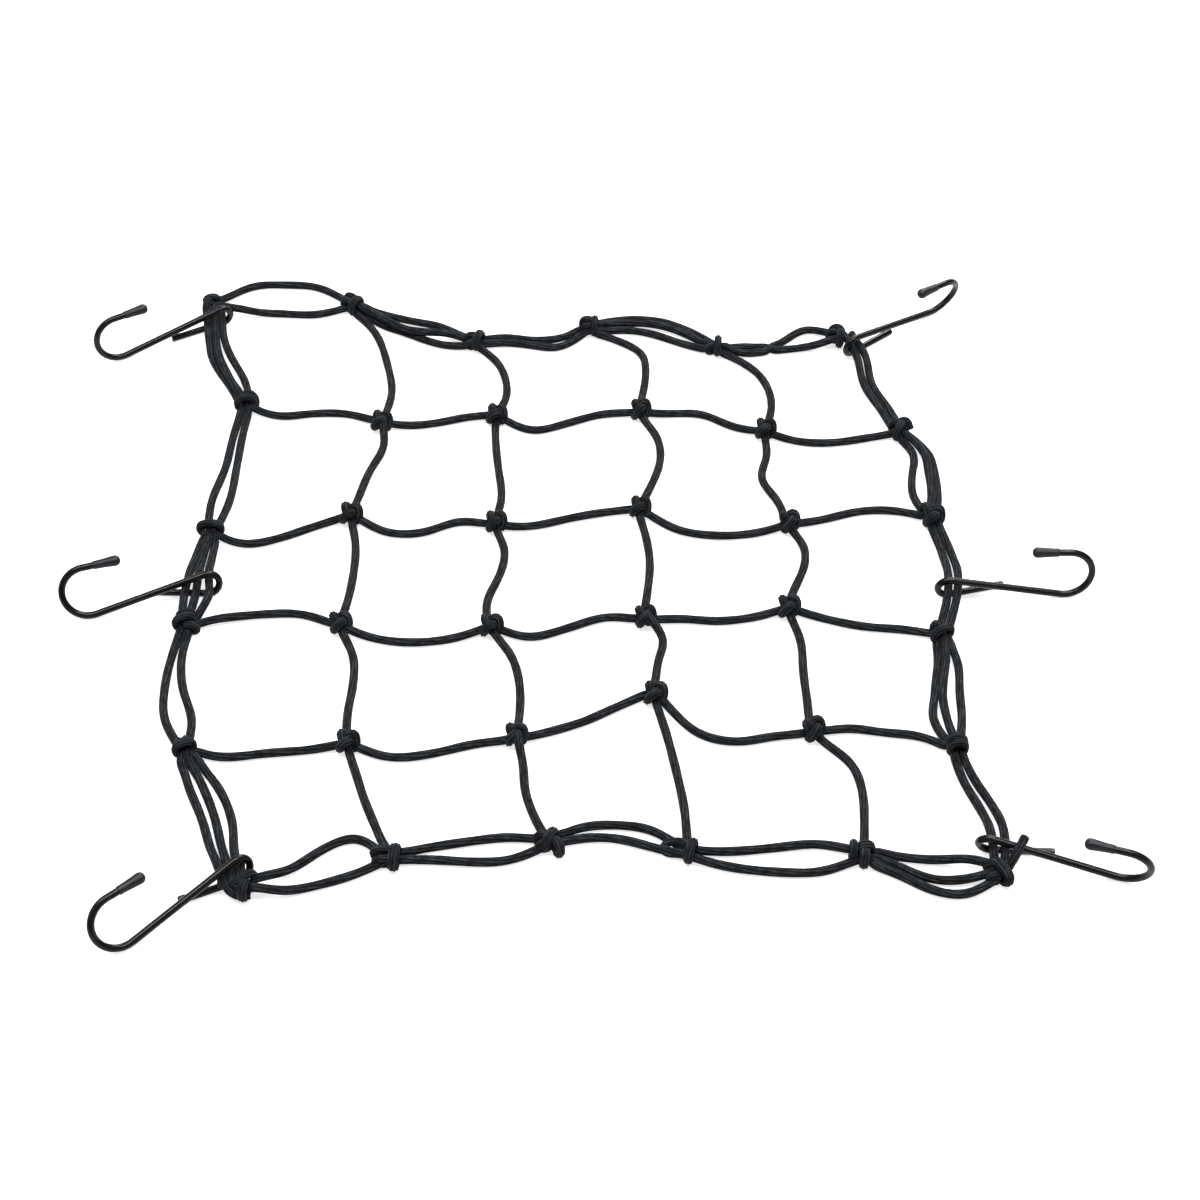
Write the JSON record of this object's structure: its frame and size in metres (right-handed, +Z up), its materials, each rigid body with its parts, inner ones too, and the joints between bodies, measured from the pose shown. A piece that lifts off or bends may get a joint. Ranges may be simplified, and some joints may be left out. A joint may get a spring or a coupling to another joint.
{
  "type": "cargo net",
  "caption": "Square elastic cargo net tied from round shock cord, lying slack and flat, with bent wire hooks round its edge cords that stretch it over luggage and hook to a rack",
  "frame": {"origin": "On the surface that the net lies on, under the middle of its outline, hooks included.", "axes": "+Z up; +Y to the back edge, away from the viewer of the picture; +X to the right, along the longest extent."},
  "size_m": [0.5433, 0.4816, 0.0312],
  "materials": {
    "shock_cord": "woven sheath over a rubber core, near black, matt with a faint grey-blue sheen",
    "coated_wire": "round steel wire with a smooth black coat, satin to glossy",
    "tip_cap": "soft dark grey-blue plastic cap, matt"
  },
  "bodies": {
    "root": {"net": "shock_cord", "hook_back_left": "coated_wire", "cap_back_left": "tip_cap", "hook_mid_left": "coated_wire", "cap_mid_left": "tip_cap", "hook_front_left": "coated_wire", "cap_front_left": "tip_cap", "hook_back_right": "coated_wire", "cap_back_right": "tip_cap", "hook_mid_right": "coated_wire", "cap_mid_right": "tip_cap", "hook_front_right": "coated_wire", "cap_front_right": "tip_cap"}
  },
  "joints": []
}
